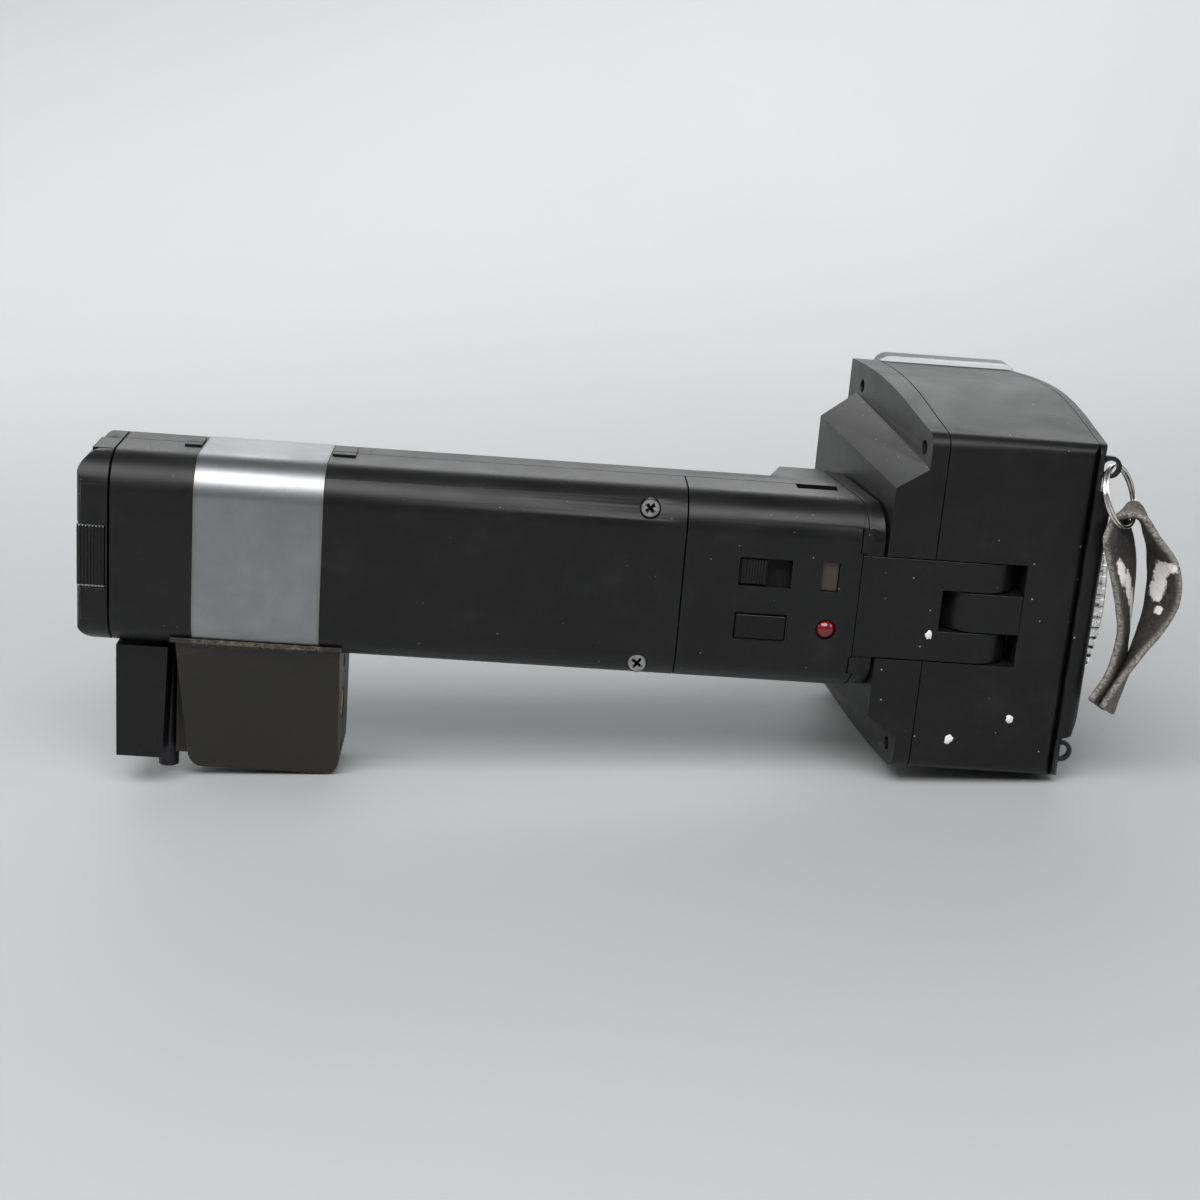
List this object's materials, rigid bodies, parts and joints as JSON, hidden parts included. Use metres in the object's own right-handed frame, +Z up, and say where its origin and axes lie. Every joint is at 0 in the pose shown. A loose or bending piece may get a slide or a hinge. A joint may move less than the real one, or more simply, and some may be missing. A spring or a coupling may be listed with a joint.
{
  "type": "handle mount camera flash",
  "caption": "Handle mount electronic flash with a tilting head, slide-out battery pack and side foot for a camera bracket, lying on its side.",
  "frame": {"origin": "centre of the footprint, at the level of the surface that the flash lies on", "axes": "+Z up; +X along the grip from the battery cap to the flash head; +Y from the back of the flash, which faces the user, to its front; the flash lies on its side, with the grip 4.4 degrees down towards the head"},
  "size_m": [0.283, 0.0912, 0.1016],
  "materials": {
    "black_plastic": "satin black moulded plastic with a fine grain",
    "dark_plastic": "smooth black plastic",
    "foot_plastic": "matt black plastic, slightly brown with age",
    "band_metal": "fine satin aluminium",
    "bright_metal": "bright nickel plate",
    "steel": "plain steel",
    "dark_steel": "black oxide steel",
    "brass": "plain brass",
    "leather": "grey black leather with white patches of old glue",
    "clear_window": "clear ribbed plastic",
    "dial_clear": "clear knurled plastic",
    "dial_print": "printed plate with plain numbers",
    "lamp_red": "glossy red",
    "indicator_lens": "translucent beige",
    "sensor_glass": "dark red lens",
    "reflector_metal": "polished reflector",
    "tube_glass": "clear glass tube",
    "circuit_board": "green laminate",
    "capacitor_sleeve": "dark blue sleeve",
    "cell_sleeve": "blue grey sleeve",
    "coil_tape": "amber tape"
  },
  "bodies": {
    "grip": {"grip_rear_shell": "black_plastic", "grip_front_shell": "black_plastic", "control_cover": "black_plastic", "neck_collar": "black_plastic", "clamp_band": "band_metal", "seam_catches": "black_plastic", "grip_screws": "bright_metal", "hinge_arm": "black_plastic", "hinge_pin": "steel", "foot_block": "foot_plastic", "foot_lip": "foot_plastic", "bracket_insert": "brass", "release_pin": "dark_steel", "main_capacitor": "capacitor_sleeve", "power_board": "circuit_board", "inverter_transformer": "coil_tape", "control_board": "circuit_board", "power_switch_body": "dark_plastic", "ready_lamp": "lamp_red", "indicator_window": "indicator_lens", "seam_slot_plate": "dark_plastic", "sensor_lens": "sensor_glass", "sensor_cell": "steel", "sync_socket": "bright_metal"},
    "lever": {"release_lever": "dark_plastic"},
    "battery_pack": {"battery_cap": "black_plastic", "cap_side_tab": "black_plastic", "battery_holder": "dark_plastic", "battery_cells": "cell_sleeve", "contact_strips": "steel"},
    "latch": {"cap_latch": "dark_plastic"},
    "slider": {"power_slider": "dark_plastic"},
    "button": {"test_button": "dark_plastic"},
    "flash_head": {"head_rear_shell": "black_plastic", "head_main_shell": "black_plastic", "head_top_cover": "black_plastic", "hinge_lug": "black_plastic", "rim_screws": "dark_steel", "flash_window": "clear_window", "reflector": "reflector_metal", "flash_tube": "tube_glass", "trigger_coil": "coil_tape", "dial_scale": "dial_print", "strap_lugs": "dark_steel"},
    "dial": {"calculator_dial": "dial_clear"},
    "ring": {"split_ring": "bright_metal"},
    "strap": {"leather_strap": "leather"}
  },
  "joints": [
    {"name": "head_tilt", "type": "hinge", "parent": "grip", "child": "flash_head", "pos_m": [0.09162, -0.02897, 0.04928], "axis": [-0.0774, 0, -0.997], "range_deg": [0, 90]},
    {"name": "battery_slide", "type": "slide", "parent": "grip", "child": "battery_pack", "axis": [-0.997, 0, 0.0774], "range_m": [0, 0.068]},
    {"name": "latch_press", "type": "slide", "parent": "battery_pack", "child": "latch", "axis": [0, 1, 0], "range_m": [0, 0.0012], "stiffness_N_per_m": 900, "springref_m": -0.0015},
    {"name": "power_switch", "type": "slide", "parent": "grip", "child": "slider", "axis": [0.997, 0, -0.0774], "range_m": [0, 0.006]},
    {"name": "test_press", "type": "slide", "parent": "grip", "child": "button", "axis": [0, 1, 0], "range_m": [0, 0.0012], "stiffness_N_per_m": 500, "springref_m": -0.001},
    {"name": "lever_rock", "type": "hinge", "parent": "grip", "child": "lever", "pos_m": [-0.12219, -0.02057, 0.02375], "axis": [0.0774, 0, 0.997], "range_deg": [0, 6], "stiffness_Nm_per_rad": 0.08, "springref_deg": -8.59},
    {"name": "dial_turn", "type": "hinge", "parent": "flash_head", "child": "dial", "pos_m": [0.12173, -0.00047, 0.04695], "axis": [0.997, 0, -0.0774], "continuous": true},
    {"name": "ring_swing", "type": "hinge", "parent": "flash_head", "child": "ring", "pos_m": [0.12318, -0.03577, 0.08625], "axis": [0, -1, 0], "range_deg": [0, 100]},
    {"name": "strap_swing", "type": "hinge", "parent": "ring", "child": "strap", "pos_m": [0.12965, -0.03577, 0.0714], "axis": [0, -1, 0], "range_deg": [0, 60]}
  ]
}
